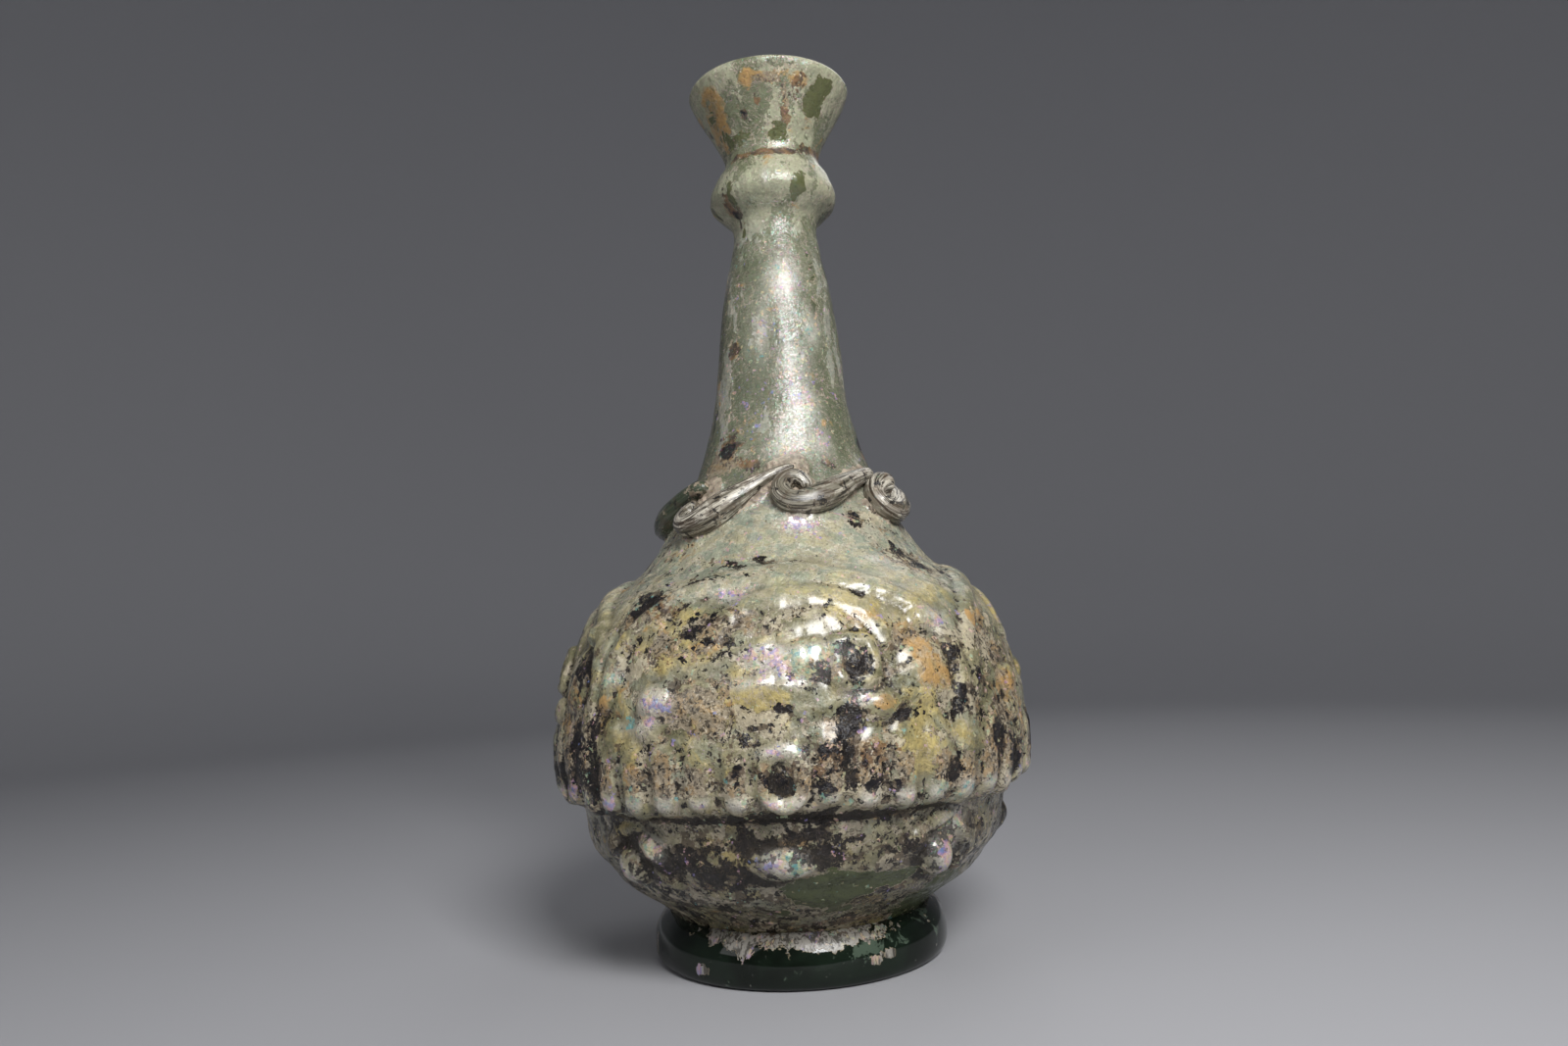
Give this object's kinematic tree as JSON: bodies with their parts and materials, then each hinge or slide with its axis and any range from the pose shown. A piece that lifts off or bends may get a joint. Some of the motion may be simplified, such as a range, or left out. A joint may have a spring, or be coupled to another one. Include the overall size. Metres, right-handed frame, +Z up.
{
  "type": "tall-necked glass flask",
  "caption": "Tall-necked flask of mould-blown glass with a globular relief body, a hollow neck bulge, a funnel mouth, applied scrolls and a thick foot ring.",
  "frame": {"origin": "middle of the foot ring, on the surface that the flask stands on", "axes": "+Z up along the body's axis, -Y towards the front seen in the picture, +X to its right"},
  "size_m": [0.144, 0.144, 0.27],
  "materials": {
    "weathered_glass": "weathered, iridescent, with crusted patches",
    "dark_green_glass": "glossy dark green, crusted along its upper edge",
    "green_glass": "rough where it was broken off",
    "trail_glass": "combed lengthwise and weathered silvery beige"
  },
  "bodies": {
    "root": {"vessel": "weathered_glass", "foot_ring": "dark_green_glass", "pontil_scar": "green_glass", "scroll_1": "trail_glass", "scroll_2": "trail_glass", "scroll_3": "trail_glass", "scroll_4": "trail_glass", "scroll_5": "trail_glass", "scroll_6": "trail_glass", "scroll_7": "trail_glass"}
  },
  "joints": []
}
